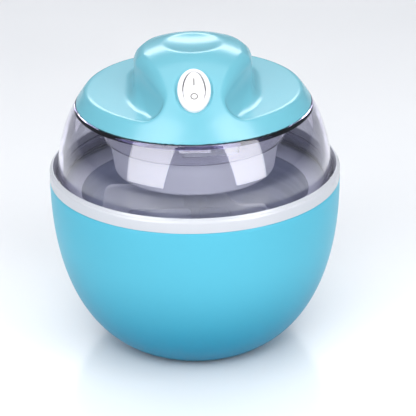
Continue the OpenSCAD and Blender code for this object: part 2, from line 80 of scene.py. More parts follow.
# Dome.
EGG_RX = 89.2
EGG_RZ = 86.5
EGG_Z = 121.0
DOME_WALL = 3.0
CAP_Z = 165.3
CAP_GAP = 0.3
FLANGE_R = RIM_IN_R - 0.4
SPIGOT_R = SKIRT_IN_R - 0.4
SPIGOT_IN_R = SPIGOT_R - 4.0
SPIGOT_Z = 112.0
SHOULDER_Z = 163.0
SHOULDER_LOW_Z = 161.4
SHOULDER_R = 72.5
NECK_IN_R = 56.2
NECK_OUT_R = 59.5
NECK_Z = 144.0
LUG_R = 58.2
LUG_HALF = 7.0
LUG_START = 30.0
LUG_Z = 150.0
LUG_H = 3.0
BAYONET_TURN = 20.0

# Motor head.
DECK_Z = 175.0
HANDLE_HALF = 38.0
FOOT_FILLET = 6.0
END_FILLET = 1.0
DECK_EDGE = 1.3
HANDLE_EDGE = 6.2
SCOOP_EDGE = 2.0
DIMPLE_EDGE = 0.8
COVER_WALL = 2.6
DRUM_R = 55.4
DRUM_FLOOR_Z = 120.0
DRUM_WALL = 2.5
DRUM_FOOT_R = DRUM_R - 6.0
DRUM_BORE_R = 6.1
DRUM_BOSS_R = 10.0
HEAD_FLANGE_R = 72.0
HEAD_FLANGE_LOW = SHOULDER_Z + 0.3
HEAD_FLANGE_HIGH = HEAD_FLANGE_LOW + 3.0
HEAD_SCREW_R = 64.0
HEAD_POST_R = 4.0
HEAD_POST_BORE_R = 1.6
MOTOR_SCREW_R = 36.0
CASE_Z = 126.0
SCOOP_FRONT = (32.8, -56.0, 188.5)
SCOOP_FRONT_R = 14.0
SCOOP_BACK = (83.0, 4.0, 197.7)
SCOOP_BACK_R = 36.0
DIMPLE_R = 18.5
DIMPLE_BALL_R = 95.0
DIMPLE_EDGE_Z = 205.5
GLAND_Z = 176.0
GLAND_HOLE_R = 5.6
GLAND_FROM_Y = 50.0

# Switch, in its own frame: Z stands square to the egg surface.
SWITCH_Y = 51.0
BEZEL_W = 21.0
BEZEL_L = 32.0
SEAT_DEPTH = 1.8
SEAT_WIDER = 2.4
SEAT_HOLE_LESS = 2.6
OPENING_W = 14.6
OPENING_L = 27.2
ROCKER_W = 13.6
ROCKER_L = 25.2
PIVOT_Z = -3.0
PIVOT_R = 1.2
ROCKER_TILT = 6.0
ROCKER_MID_H = 3.7
ROCKER_DISH = 1.3

# Camera, in degrees and millimetres, and the studio's back light, in metres.
VIEW_ELEVATION = 23.85
VIEW_ROLL = 0.863
VIEW_SWING = -0.8
VIEW_PLACE = (8.28, -1367.8, 693.8)
VIEW_LENS = 195.77
BACK_Y = 2.6
WALL_MID_Z = 0.68

# Paddle.
PADDLE_T = 4.0
TALL_WING_R = 62.0
WING_TOP_Z = 107.0
STEM_HALF = 2.8
WINDOW_TOP_Z = 89.5
WINDOW_LOW_Z = 42.0
HUB_R = 7.0
SHAFT_R = 3.5
SHAFT_LOW_Z = 102.0


# ---------------------------------------------------------------- outlines


def tub_r(z):
    """Radius of the tub's outer face at a height."""
    drop = max(SEAM_Z - z, 0.0) / BULB_DEPTH
    return RIM_R * (1 - drop**BULB_Z_POWER) ** (1 / BULB_R_POWER)


def nested_r(z, depth):
    """Radius of a face that lies a given depth inside the tub's outer face."""
    return tub_r(z - 0.65 * depth) - 0.8 * depth


def nested_line(z0, z1, depth, count=40):
    """Points up a nested face, closer together near the floor."""
    heights = [z0 + (z1 - z0) * (i / count) ** 1.6 for i in range(count + 1)]
    return [(nested_r(z, depth), z) for z in heights]


def arc(cx, cz, r, start, end, count=8):
    """Points on a circle, angles in degrees."""
    angles = np.radians(np.linspace(start, end, count + 1))
    return [(cx + r * math.cos(a), cz + r * math.sin(a)) for a in angles]


def egg_line(z0, z1, inset, count=40):
    """Points up the egg shape, moved inwards by an inset."""
    tall = EGG_RZ - inset
    low = math.degrees(math.asin((z0 - EGG_Z) / tall))
    high = math.degrees(math.asin(min(1.0, (z1 - EGG_Z) / tall)))
    angles = np.radians(np.linspace(low, high, count + 1))
    return [((EGG_RX - inset) * math.cos(a), EGG_Z + tall * math.sin(a)) for a in angles]


def egg_r(z, inset=0.0):
    """Radius of the egg shape at a height."""
    return (EGG_RX - inset) * math.sqrt(1 - ((z - EGG_Z) / (EGG_RZ - inset)) ** 2)


def softened(corners, count=4):
    """Closed outline in which each corner (a, b, radius) is rounded; a pair stays sharp."""
    points = []
    for i, corner in enumerate(corners):
        here = Vector(corner[:2])
        radius = corner[2] if len(corner) > 2 else 0.0
        if radius == 0.0:
            points.append(tuple(here))
            continue
        back = Vector(corners[i - 1][:2]) - here
        ahead = Vector(corners[(i + 1) % len(corners)][:2]) - here
        half = back.angle(ahead) / 2
        cut = min(radius / math.tan(half), 0.48 * back.length, 0.48 * ahead.length)
        first = here + back.normalized() * cut
        last = here + ahead.normalized() * cut
        for k in range(count + 1):
            t = k / count
            points.append(tuple(first * (1 - t) ** 2 + here * 2 * t * (1 - t) + last * t * t))
    return points


# ---------------------------------------------------------------- meshes


def add_piece(name, points, faces, place=None, sharp=35.0):
    """Object from points in millimetres; smooth, with edges above an angle kept crisp."""
    mesh = bpy.data.meshes.new(name)
    mesh.from_pydata((np.asarray(points) * MM).tolist(), [], faces)
    bm = bmesh.new()
    bm.from_mesh(mesh)
    bmesh.ops.remove_doubles(bm, verts=bm.verts, dist=2e-7)
    bmesh.ops.recalc_face_normals(bm, faces=bm.faces)
    bm.to_mesh(mesh)
    bm.free()
    if place is not None:
        mesh.transform(place)
    mesh.polygons.foreach_set("use_smooth", [True] * len(mesh.polygons))
    mesh.set_sharp_from_angle(angle=math.radians(sharp))
    mesh.update()
    piece = bpy.data.objects.new(name, mesh)
    bpy.context.scene.collection.objects.link(piece)
    return piece


def loft_faces(rows, columns):
    """Quads of a grid that wraps round in both directions."""
    return [
        (
            i * columns + j,
            i * columns + (j + 1) % columns,
            (i + 1) % rows * columns + (j + 1) % columns,
            (i + 1) % rows * columns + j,
        )
        for i, j in product(range(rows), range(columns))
    ]


def loft(name, loops, place=None, sharp=35.0):
    """Closed surface through loops of points, the last loop joined to the first."""
    grid = np.asarray(loops, dtype=float)
    rows, columns = grid.shape[:2]
    return add_piece(name, grid.reshape(-1, 3), loft_faces(rows, columns), place, sharp)


def lathe(name, outline, turns=None, place=None, sharp=35.0):
    """Turned shape. outline is a closed list of (r, z), or a function that gives one for an angle."""
    angles = turns if turns is not None else [(360.0 * i / STEPS, 0) for i in range(STEPS)]
    loops = []
    for angle, sector in angles:
        profile = outline(sector) if callable(outline) else outline
        a = math.radians(angle)
        loops.append([(r * math.cos(a), r * math.sin(a), z) for r, z in profile])
    return loft(name, loops, place, sharp)


def sector_turns(cuts):
    """Angles round the axis with a doubled step at each cut; cuts is (start, end, sector) in degrees."""
    edges = sorted({c % 360 for start, end, _ in cuts for c in (start, end)})
    turns = []
    for low, high in zip(edges, edges[1:] + [edges[0] + 360]):
        middle = (low + high) / 2
        sector = 0
        for start, end, kind in cuts:
            if (middle - start) % 360 < (end - start):
                sector = kind
        count = max(2, int((high - low) * STEPS / 360))
        turns += [(a, sector) for a in np.linspace(low, high, count + 1)]
    return turns


def surface_net(field, low, step):
    """Points and quads on the zero level of a grid of signed distances."""
    inside = field < 0
    shape = np.array(field.shape) - 1

    def corner(array, offset):
        return array[tuple(slice(o, o + n) for o, n in zip(offset, shape))]

    count = sum(corner(inside, o).astype(np.int8) for o in product((0, 1), repeat=3))
    active = (count > 0) & (count < 8)
    index = np.full(active.shape, -1)
    index[active] = np.arange(active.sum())
    cell = np.argwhere(active).astype(float)
    total = np.zeros_like(cell)
    hits = np.zeros(len(cell))
    for axis in range(3):
        others = [a for a in range(3) if a != axis]
        for u, v in product((0, 1), repeat=2):
            start = np.zeros(3, int)
            start[others[0]], start[others[1]] = u, v
            end = start.copy()
            end[axis] = 1
            f0, f1 = corner(field, start)[active], corner(field, end)[active]
            cross = (f0 < 0) != (f1 < 0)
            place = np.tile(start.astype(float), (len(cell), 1))
            place[:, axis] = f0 / np.where(cross, f0 - f1, 1.0)
            total[cross] += place[cross]
            hits += cross
    points = (cell + total / hits[:, None]) * step + low
    faces = []
    for axis in range(3):
        u, v = [a for a in range(3) if a != axis]
        first = np.take(inside, range(field.shape[axis] - 1), axis=axis)
        second = np.take(inside, range(1, field.shape[axis]), axis=axis)
        edge = np.argwhere(first != second)
        edge = edge[(edge[:, u] > 0) & (edge[:, v] > 0) & (edge[:, u] < shape[u]) & (edge[:, v] < shape[v])]
        quad = []
        for du, dv in ((1, 1), (0, 1), (0, 0), (1, 0)):
            at = edge.copy()
            at[:, u] -= du
            at[:, v] -= dv
            quad.append(index[at[:, 0], at[:, 1], at[:, 2]])
        faces += np.stack(quad, axis=1).tolist()
    return points, faces


def gradient(distance, points, reach=0.02):
    """Slope of a signed distance at each point."""
    slope = np.zeros_like(points)
    for axis in range(3):
        shift = np.zeros(3)
        shift[axis] = reach
        slope[:, axis] = (distance(points + shift) - distance(points - shift)) / (2 * reach)
    return slope


def sculpt(name, distance, low, high, step, place=None, sharp=40.0):
    """Piece whose surface is where a signed distance, in millimetres, is zero."""
    step = step
    axes = [np.arange(a, b + step, step) for a, b in zip(low, high)]
    grid = np.stack(np.meshgrid(*axes, indexing="ij"), axis=-1)
    points, faces = surface_net(distance(grid), np.array(low), step)
    for _ in range(4):
        slope = gradient(distance, points)
        size = np.maximum((slope**2).sum(axis=1), 0.25)
        move = slope * (distance(points) / size)[:, None]
        points = points - np.clip(move, -0.4 * step, 0.4 * step)
    return add_piece(name, points, faces, place, sharp)


# ---------------------------------------------------------------- signed distances


def meet(a, b, r):
    """Both at once, with the edge rounded."""
    return np.minimum(-r, np.maximum(a, b)) + np.hypot(np.maximum(r + a, 0), np.maximum(r + b, 0))


def join(a, b, r):
    """Either one, with the inside corner filled."""
    return np.maximum(r, np.minimum(a, b)) - np.hypot(np.maximum(r - a, 0), np.maximum(r - b, 0))


def ellipsoid(p, centre, radii):
    """Distance to an ellipsoid, exact enough near its surface."""
    q = (p - np.array(centre)) / np.array(radii)
    near = np.linalg.norm(q, axis=-1)
    scale = np.linalg.norm(q / np.array(radii), axis=-1)
    return near * (near - 1) / np.maximum(scale, 1e-9)


def oval(u, v, width, length):
    """Distance to an oval outline."""
    a, b = width / 2, length / 2
    near = np.hypot(u / a, v / b)
    scale = np.hypot(u / a**2, v / b**2)
    return near * (near - 1) / np.maximum(scale, 1e-9)


def ball(p, centre, radius):
    return np.linalg.norm(p - np.array(centre), axis=-1) - radius


def round_cone(p, a, b, r1, r2):
    """Distance to the hull of two balls."""
    a, b = np.array(a), np.array(b)
    ba = b - a
    l2 = ba @ ba
    rr = r1 - r2
    a2 = l2 - rr * rr
    pa = p - a
    y = pa @ ba
    z = y - l2
    x2 = ((pa * l2 - ba * y[..., None]) ** 2).sum(axis=-1)
    y2 = y * y * l2
    z2 = z * z * l2
    k = math.copysign(1, rr) * rr * rr * x2
    side = (np.sqrt(x2 * a2 / l2) + y * rr) / l2 - r1
    far = np.sqrt(x2 + z2) / l2 - r2
    near = np.sqrt(x2 + y2) / l2 - r1
    return np.where(np.sign(z) * a2 * z2 > k, far, np.where(np.sign(y) * a2 * y2 < k, near, side))


def outline_distance(u, v, outline):
    """Distance to a closed outline in a plane, negative inside."""
    best = np.full(u.shape, 1e9)
    inside = np.zeros(u.shape, bool)
    for (ax, ay), (bx, by) in zip(outline, outline[1:] + outline[:1]):
        ex, ey = bx - ax, by - ay
        length = ex * ex + ey * ey
        if length < 1e-12:
            continue
        t = np.clip(((u - ax) * ex + (v - ay) * ey) / length, 0, 1)
        best = np.minimum(best, np.hypot(u - ax - t * ex, v - ay - t * ey))
        if ay != by:
            inside ^= ((ay > v) != (by > v)) & (u < ex * (v - ay) / (by - ay) + ax)
    return np.where(inside, -best, best)


def smooth_rise(low, high, value):
    """0 below low, 1 above high and a soft curve between."""
    t = np.clip((value - low) / (high - low), 0, 1)
    return t * t * (3 - 2 * t)


# ---------------------------------------------------------------- switch frame

SWITCH_Z = EGG_Z + EGG_RZ * math.sqrt(1 - (SWITCH_Y / EGG_RX) ** 2)
SWITCH_SLOPE = math.atan2(SWITCH_Y / EGG_RX**2, (SWITCH_Z - EGG_Z) / EGG_RZ**2)
SEAT = Matrix.Translation(Vector((0, -SWITCH_Y, SWITCH_Z)) * MM) @ Matrix.Rotation(SWITCH_SLOPE, 4, "X")
PIVOT = SEAT @ Matrix.Translation((0, 0, PIVOT_Z * MM))
ROCKER_PLACE = PIVOT @ Matrix.Rotation(math.radians(ROCKER_TILT), 4, "X")


def to_seat(p):
    """Points of the shared frame in the switch's own frame."""
    s, c = math.sin(SWITCH_SLOPE), math.cos(SWITCH_SLOPE)
    y = p[..., 1] + SWITCH_Y
    z = p[..., 2] - SWITCH_Z
    return np.stack([p[..., 0], y * c + z * s, z * c - y * s], axis=-1)


# ---------------------------------------------------------------- tub and bowl


def make_tub():
    """The blue bulb, open at the bottom round the base plate."""
    outer = nested_line(FOOT_GAP + 0.6, SEAM_Z - 0.4, 0.0, 72)
    outline = (
        [(PLATE_RECESS_R, FOOT_GAP)]
        + [(nested_r(FOOT_GAP, 0.0) - 1.2, FOOT_GAP)]
        + outer
        + arc(RIM_R - 0.45, SEAM_Z - 0.4, 0.4, 20, 90, 4)
        + nested_line(FLANGE_TOP_Z, SEAM_Z, TUB_WALL)[::-1]
        + [(FLANGE_HOLE_R, FLANGE_TOP_Z), (FLANGE_HOLE_R, FLANGE_Z), (PLATE_RECESS_R, FLANGE_Z)]
    )
    return lathe("tub_shell", outline)


def make_rim():
    """The pale ring on top of the tub, with the ledge that carries the dome."""
    crown = 2.4
    outline = (
        [(SKIRT_IN_R, SKIRT_Z), (RIM_IN_R, SKIRT_Z), (RIM_IN_R, SEAM_Z), (RIM_R - 0.5, SEAM_Z)]
        + arc(RIM_R - 0.5, SEAM_Z + 0.5, 0.5, -80, 0, 4)
        + arc(RIM_R - crown, RIM_TOP_Z - 3.6, crown, 0, 60, 14)
        + arc(RIM_IN_R + 0.8, RIM_TOP_Z - 0.8, 0.8, 90, 180, 6)
        + [(RIM_IN_R, LEDGE_Z), (SKIRT_IN_R, LEDGE_Z)]
    )
    return lathe("rim_band", outline)


def make_liner():
    """The white pocket inside the tub."""
    top_r = RIM_IN_R - 0.2
    outline = (
        [(0.0, LINER_FLOOR_Z)]
        + nested_line(LINER_FLOOR_Z, LINER_TOP_Z, LINER_OUT)
        + [(top_r, LINER_TOP_Z), (top_r, SKIRT_Z), (nested_r(LINER_TOP_Z, LINER_IN), SKIRT_Z)]
        + nested_line(BOWL_FLOOR_Z, LINER_TOP_Z, LINER_IN)[::-1]
        + [(0.0, BOWL_FLOOR_Z)]
    )
    return lathe("liner_pocket", outline)


def make_bowl_shell():
    """Outside of the freezer bowl."""
    inner_floor = BOWL_FLOOR_Z + 1.8
    outline = (
        [(0.0, BOWL_FLOOR_Z)]
        + nested_line(BOWL_FLOOR_Z, COLLAR_LOW_Z, SHELL_OUT)
        + nested_line(inner_floor, COLLAR_LOW_Z, SHELL_IN)[::-1]
        + [(0.0, inner_floor)]
    )
    return lathe("bowl_outside", outline)


def make_bowl_cup():
    """Aluminium cup that the paddle turns in."""
    low = CUP_FLOOR_Z - CUP_WALL
    outline = (
        [(0.0, low)]
        + nested_line(low, CUP_TOP_Z, CUP_OUT)
        + nested_line(CUP_FLOOR_Z, CUP_TOP_Z, CUP_IN)[::-1]
        + [(0.0, CUP_FLOOR_Z)]
    )
    return lathe("bowl_inside", outline)


def make_bowl_rim():
    """White collar that closes the bowl's double wall."""
    cup_r = nested_r(CUP_TOP_Z, CUP_OUT) + 0.2
    mouth_r = nested_r(CUP_TOP_Z, CUP_IN)
    out_r = nested_r(CUP_TOP_Z, SHELL_OUT) - 0.1
    outline = softened(
        [
            (cup_r, COLLAR_LOW_Z),
            (out_r, COLLAR_LOW_Z),
            (out_r, CUP_TOP_Z + 4, 1.2),
            (cup_r + 7, CUP_TOP_Z + 2.6, 4.0),
            (mouth_r, CUP_TOP_Z + 0.8, 0.4),
            (mouth_r, CUP_TOP_Z),
            (cup_r, CUP_TOP_Z),
        ],
        6,
    )
    return lathe("bowl_collar", outline)


# ---------------------------------------------------------------- dome


def dome_outline(sector):
    """Wall of the dome; sector 1 is a bayonet slot and sector 2 its way in from above."""
    slot_low = LUG_Z - 0.4
    slot_high = LUG_Z + LUG_H + 0.4
    slot_r = LUG_R + 0.4 if sector else NECK_IN_R
    entry_r = LUG_R + 0.25 if sector == 2 else NECK_IN_R
    top = CAP_Z - CAP_GAP
    return (
        [(SPIGOT_IN_R, SPIGOT_Z + 0.4), (SPIGOT_IN_R + 0.4, SPIGOT_Z)]
        + [(SPIGOT_R - 0.4, SPIGOT_Z), (SPIGOT_R, SPIGOT_Z + 0.4), (SPIGOT_R, LEDGE_Z)]
        + arc(FLANGE_R - 0.4, LEDGE_Z + 0.4, 0.4, -90, 0, 3)
        + arc(FLANGE_R - 0.8, LEDGE_Z + 1.6, 0.8, 0, 80, 5)
        + arc(egg_r(LEDGE_Z + 4) + 1.4, LEDGE_Z + 3.9, 1.4, 265, 185, 6)
        + egg_line(LEDGE_Z + 5.2, top - 0.3, 0.0, 60)
        + [(egg_r(top) - 0.3, top), (SHOULDER_R, top), (SHOULDER_R, SHOULDER_Z)]
        + [(entry_r, SHOULDER_Z), (entry_r, slot_high), (slot_r, slot_high)]
        + [(slot_r, slot_low), (NECK_IN_R, slot_low)]
        + [(NECK_IN_R, NECK_Z + 0.5), (NECK_IN_R + 0.5, NECK_Z)]
        + [(NECK_OUT_R - 0.5, NECK_Z), (NECK_OUT_R, NECK_Z + 0.5)]
        + arc(NECK_OUT_R + 1.5, SHOULDER_LOW_Z - 1.5, 1.5, 180, 90, 5)
        + egg_line(LEDGE_Z + 3, SHOULDER_LOW_Z, DOME_WALL, 60)[::-1]
        + [(SPIGOT_IN_R, LEDGE_Z + 1)]
    )


def make_dome():
    """Clear egg wall with the neck and the three bayonet slots of the motor head."""
    reach = LUG_HALF + 0.8
    cuts = []
    for third in range(3):
        start = LUG_START + 120 * third
        cuts.append((start - reach, start + BAYONET_TURN + reach, 1))
        cuts.append((start + BAYONET_TURN - reach, start + BAYONET_TURN + reach, 2))
    return lathe("dome_wall", dome_outline, sector_turns(cuts))


def make_seal():
    """Soft ring under the dome's spigot."""
    outline = softened(
        [
            (SPIGOT_IN_R + 0.6, SPIGOT_Z - 2, 0.5),
            (SPIGOT_R - 0.8, SPIGOT_Z - 2.6, 0.6),
            (SPIGOT_R - 0.3, SPIGOT_Z),
            (SPIGOT_IN_R + 0.2, SPIGOT_Z),
        ]
    )
    return lathe("dome_seal_ring", outline)


# ---------------------------------------------------------------- motor head


def head_distance(p):
    """Outside of the blue cover, open at the bottom."""
    x, z = p[..., 0], p[..., 2]
    egg = ellipsoid(p, (0, 0, EGG_Z), (EGG_RX, EGG_RX, EGG_RZ))
    handle = np.abs(x) - HANDLE_HALF
    for end in (1, -1):
        q = np.stack([np.abs(x), end * p[..., 1], z], axis=-1)
        scoop = round_cone(q, SCOOP_FRONT, SCOOP_BACK, SCOOP_FRONT_R, SCOOP_BACK_R)
        handle = meet(handle, -scoop, SCOOP_EDGE)
    foot = END_FILLET + FOOT_FILLET * (1 - smooth_rise(20, 50, np.abs(p[..., 1])))
    top = join(z - DECK_Z, handle, foot)
    edge = DECK_EDGE + HANDLE_EDGE * smooth_rise(DECK_Z + 8, DECK_Z + 26, z)
    body = meet(egg, top, edge)
    dimple_z = DIMPLE_EDGE_Z + math.sqrt(DIMPLE_BALL_R**2 - DIMPLE_R**2)
    body = meet(body, -ball(p, (0, 0, dimple_z), DIMPLE_BALL_R), DIMPLE_EDGE)
    seat = to_seat(p)
    recess = oval(seat[..., 0], seat[..., 1], BEZEL_W + SEAT_WIDER, BEZEL_L + SEAT_WIDER)
    recess = np.maximum(recess, -seat[..., 2] - SEAT_DEPTH)
    return meet(body, -recess, 0.7)


def cover_distance(p):
    """The cover as a shell, with its posts and openings."""
    x, y, z = p[..., 0], p[..., 1], p[..., 2]
    outside = head_distance(p)
    shell = np.maximum(meet(outside, CAP_Z - z, 0.7), -(outside + COVER_WALL))
    ring = HEAD_SCREW_R * math.sqrt(0.5)
    post = np.hypot(np.abs(x) - ring, np.abs(y) - ring)
    posts = np.maximum(post - HEAD_POST_R, np.maximum(HEAD_FLANGE_HIGH - z, z - DECK_Z + 1.5))
    shell = np.minimum(shell, posts)
    shell = np.maximum(shell, -np.maximum(post - HEAD_POST_BORE_R, z - DECK_Z + 3.5))
    seat = to_seat(p)
    hole = oval(seat[..., 0], seat[..., 1], BEZEL_W - SEAT_HOLE_LESS, BEZEL_L - SEAT_HOLE_LESS)
    shell = np.maximum(shell, -np.maximum(hole, np.abs(seat[..., 2] + 4) - 8))
    gland = np.maximum(np.hypot(x, z - GLAND_Z) - GLAND_HOLE_R, GLAND_FROM_Y - y)
    return np.maximum(shell, -gland)


def make_cover():
    """Blue cover of the motor head: decks, handle slab, finger scoops and thumb dimple."""
    wide = egg_r(CAP_Z) + 2.5
    low = (-wide, -wide, CAP_Z - 2)
    high = (wide, wide, EGG_Z + EGG_RZ + 1)
    return sculpt("head_shell", cover_distance, low, high, 0.9)


def drum_outline(sector):
    """Wall of the grey drum; sector 1 carries a bayonet lug."""
    lug = LUG_R if sector else DRUM_R
    return (
        [(DRUM_BORE_R, DRUM_FLOOR_Z), (DRUM_FOOT_R, DRUM_FLOOR_Z)]
        + arc(DRUM_FOOT_R, DRUM_FLOOR_Z + 3, 3, 290, 350, 8)
        + [(DRUM_R - 0.25, NECK_Z - 1.6), (DRUM_R, NECK_Z - 1)]
        + [(DRUM_R, LUG_Z), (lug, LUG_Z), (lug, LUG_Z + LUG_H), (DRUM_R, LUG_Z + LUG_H)]
        + [(DRUM_R, HEAD_FLANGE_LOW - 0.6), (DRUM_R + 0.6, HEAD_FLANGE_LOW)]
        + [(HEAD_FLANGE_R - 0.4, HEAD_FLANGE_LOW), (HEAD_FLANGE_R, HEAD_FLANGE_LOW + 0.4)]
        + [(HEAD_FLANGE_R, HEAD_FLANGE_HIGH), (DRUM_R - DRUM_WALL, HEAD_FLANGE_HIGH)]
        + [(DRUM_R - DRUM_WALL, NECK_Z - 1)]
        + [(DRUM_FOOT_R, DRUM_FLOOR_Z + DRUM_WALL + 2)]
        + [(DRUM_FOOT_R - 2, DRUM_FLOOR_Z + DRUM_WALL), (DRUM_BOSS_R, DRUM_FLOOR_Z + DRUM_WALL)]
        + [(DRUM_BOSS_R, CASE_Z), (DRUM_BORE_R, CASE_Z)]
    )


def make_drum():
    """Grey drum that hangs inside the dome and holds the gear motor."""
    turns = [LUG_START + 120 * i for i in range(3)]
    cuts = [(turn - LUG_HALF, turn + LUG_HALF, 1) for turn in turns]
    return lathe("drum_wall", drum_outline, sector_turns(cuts))


def make_motor_posts():
    """Three hollow posts that the gear case is screwed to."""
    loops = softened(
        [
            (1.6, DRUM_FLOOR_Z + 1.5),
            (3.6, DRUM_FLOOR_Z + 1.5),
            (3.6, CASE_Z, 0.3),
            (1.6, CASE_Z, 0.2),
        ],
        2,
    )
    posts = []
    for i in range(3):
        a = math.radians(30 + 120 * i)
        shift = Vector((math.cos(a), math.sin(a), 0)) * MOTOR_SCREW_R * MM
        posts.append(lathe(f"motor_post_{i + 1}", loops, place=Matrix.Translation(shift)))
    return posts


def make_gland():
    """Ribbed rubber sleeve at the back, where the supply cord leaves."""
    corners = [
        (3.6, 55.6, 0.3),
        (7.0, 55.6, 0.5),
        (7.0, 58.0, 0.5),
        (5.5, 58.0),
        (5.5, 69.6),
        (4.7, 70.0, 0.2),
        (4.7, 70.9, 0.2),
        (5.5, 71.3, 0.3),
        (5.5, 72.2, 0.3),
        (4.7, 72.6, 0.2),
        (4.7, 73.3, 0.2),
        (5.5, 73.7, 0.4),
        (5.5, 75.0, 0.7),
        (3.6, 75.0, 0.4),
    ]
    place = Matrix.Translation((0, 0, GLAND_Z * MM)) @ Matrix.Rotation(math.radians(-90), 4, "X")
    return lathe("gland_sleeve", softened(corners, 4), place=place)


# ---------------------------------------------------------------- switch


def bezel_distance(p):
    """Oval frame of the switch, in the switch's frame."""
    u, v, w = p[..., 0], p[..., 1], p[..., 2]
    frame_part = meet(oval(u, v, BEZEL_W, BEZEL_L), w - 1.3, 1.2)
    frame_part = np.maximum(frame_part, -SEAT_DEPTH - w)
    skirt = np.maximum(oval(u, v, BEZEL_W - 3, BEZEL_L - 3), np.abs(w + 4.5) - 4.5)
    solid = np.minimum(frame_part, skirt)
    solid = meet(solid, -oval(u, v, OPENING_W, OPENING_L), 0.5)
    return np.maximum(solid, PIVOT_R + 0.07 - np.hypot(v, w - PIVOT_Z))


def make_bezel():
    """White frame that the rocker sits in."""
    low = (-BEZEL_W / 2 - 1, -BEZEL_L / 2 - 1, -10)
    high = (BEZEL_W / 2 + 1, BEZEL_L / 2 + 1, 2.5)
    return sculpt("bezel_frame", bezel_distance, low, high, 0.4, SEAT)


def rocker_top(v):
    """Height of the dished top of the rocker above its pivot."""
    return ROCKER_MID_H + ROCKER_DISH * (v / (ROCKER_L / 2)) ** 2


def rocker_distance(p):
    """Rocker in its own frame, with its pivot at the origin."""
    u, v, w = p[..., 0], p[..., 1], p[..., 2]
    narrow = 1 - 0.07 * v / (ROCKER_L / 2)
    side = oval(u / narrow, v, ROCKER_W, ROCKER_L)
    body = meet(side, w - rocker_top(v), 0.9)
    under = -4.4 + 0.75 * np.maximum(np.abs(v) - 5, 0)
    body = np.maximum(body, (under - w) * 0.8)
    pin = np.maximum(np.hypot(v, w) - PIVOT_R, np.abs(u) - 8.4)
    return np.minimum(body, pin)


def make_rocker():
    """White rocker, stored with its lower end pressed."""
    low = (-9.4, -ROCKER_L / 2 - 1, -5.4)
    high = (9.4, ROCKER_L / 2 + 1, 7)
    return sculpt("rocker_cap", rocker_distance, low, high, 0.35, ROCKER_PLACE)


def on_rocker(points, lift):
    """Points of a flat mark laid on the rocker's dished top."""
    return [(u, v, rocker_top(v) + lift) for u, v in points]


def make_line_mark():
    """Straight switch mark near the upper end."""
    half, radius, middle = 2.1, 0.42, 5.6
    turn = np.linspace(0, 2 * math.pi, 24, endpoint=False)

    def loop(r, lift):
        ends = [(r * math.cos(a), middle + math.copysign(half, math.sin(a)) + r * math.sin(a)) for a in turn]
        return on_rocker(ends, lift)

    loops = [loop(radius, -0.15), loop(radius, 0.03), loop(0, 0.03), loop(0, -0.15)]
    return loft("mark_line", loops, ROCKER_PLACE)


def make_ring_mark():
    """Round switch mark near the lower end."""
    outer, inner, middle = 2.45, 1.65, -4.6
    turn = np.linspace(0, 2 * math.pi, 48, endpoint=False)

    def loop(r, lift):
        return on_rocker([(r * math.cos(a), middle + r * math.sin(a)) for a in turn], lift)

    loops = [loop(outer, -0.15), loop(outer, 0.03), loop(inner, 0.03), loop(inner, -0.15)]
    return loft("mark_ring", loops, ROCKER_PLACE)


# ---------------------------------------------------------------- paddle


def window_outline(near, far_top, far_low):
    """Window between the stem and a wing; near is the side by the stem."""
    corner = 3.5
    return softened(
        [
            (far_top, WINDOW_TOP_Z, corner),
            (near, WINDOW_TOP_Z, corner),
            (near, WINDOW_LOW_Z, corner),
            (far_low, WINDOW_LOW_Z, corner),
        ],
        6,
    )


def blade_outline():
    """Outline of the plate: tall wing at -X, low wing at +X."""
    heights = np.linspace(CUP_FLOOR_Z + 3, 52, 12)
    edge = [(nested_r(z, CUP_IN) - 3, z) for z in heights]
    right = [(59, 66), (52, 86)] + arc(44, 88, 3, 10, 90, 6) + arc(33, 105, 14, 270, 180, 12)
    left = arc(-54, WING_TOP_Z - 6, 6, 90, 170, 8) + [(-TALL_WING_R, 90), (-TALL_WING_R, 62)]
    return edge + right + [(19, WING_TOP_Z), (-54, WING_TOP_Z)] + left + [(-r, z) for r, z in edge[::-1]]


BLADE = blade_outline()
WINDOWS = (window_outline(STEM_HALF, 21, 32), window_outline(-STEM_HALF, -45, -36))


def paddle_distance(p):
    """Flat blade with two windows and a round hub for the shaft."""
    x, y, z = p[..., 0], p[..., 1], p[..., 2]
    flat = outline_distance(x, z, BLADE)
    for window in WINDOWS:
        flat = np.maximum(flat, -outline_distance(x, z, window))
    blade = meet(flat, np.abs(y) - PADDLE_T / 2, 1.1)
    hub = meet(np.hypot(x, y) - HUB_R, np.abs(z - 104.3) - 12.3, 1.0)
    body = join(blade, hub, 1.2)
    bore = np.maximum(np.hypot(x, y) - SHAFT_R - 0.05, SHAFT_LOW_Z - 0.5 - z)
    return np.maximum(body, -bore)


def make_paddle():
    """Frosted paddle that scrapes the frozen cup."""
    low = (-TALL_WING_R - 1, -8.5, CUP_FLOOR_Z + 1.5)
    high = (TALL_WING_R + 1, 8.5, DRUM_FLOOR_Z - 2)
    return sculpt("paddle_blade", paddle_distance, low, high, 0.8)


# ---------------------------------------------------------------- materials


def rgb(red, green, blue):
    """Scene-linear colour from display values of 0 to 255."""
    values = [c / 255 for c in (red, green, blue)]
    return [c / 12.92 if c <= 0.04045 else ((c + 0.055) / 1.055) ** 2.4 for c in values] + [1.0]


def shade(name, **values):
    """New material with its principled shader's sockets set."""
    mat = bpy.data.materials.new(name)
    mat.use_nodes = True
    shader = mat.node_tree.nodes["Principled BSDF"]
    for key, value in values.items():
        shader.inputs[key.replace("_", " ")].default_value = value
    return mat


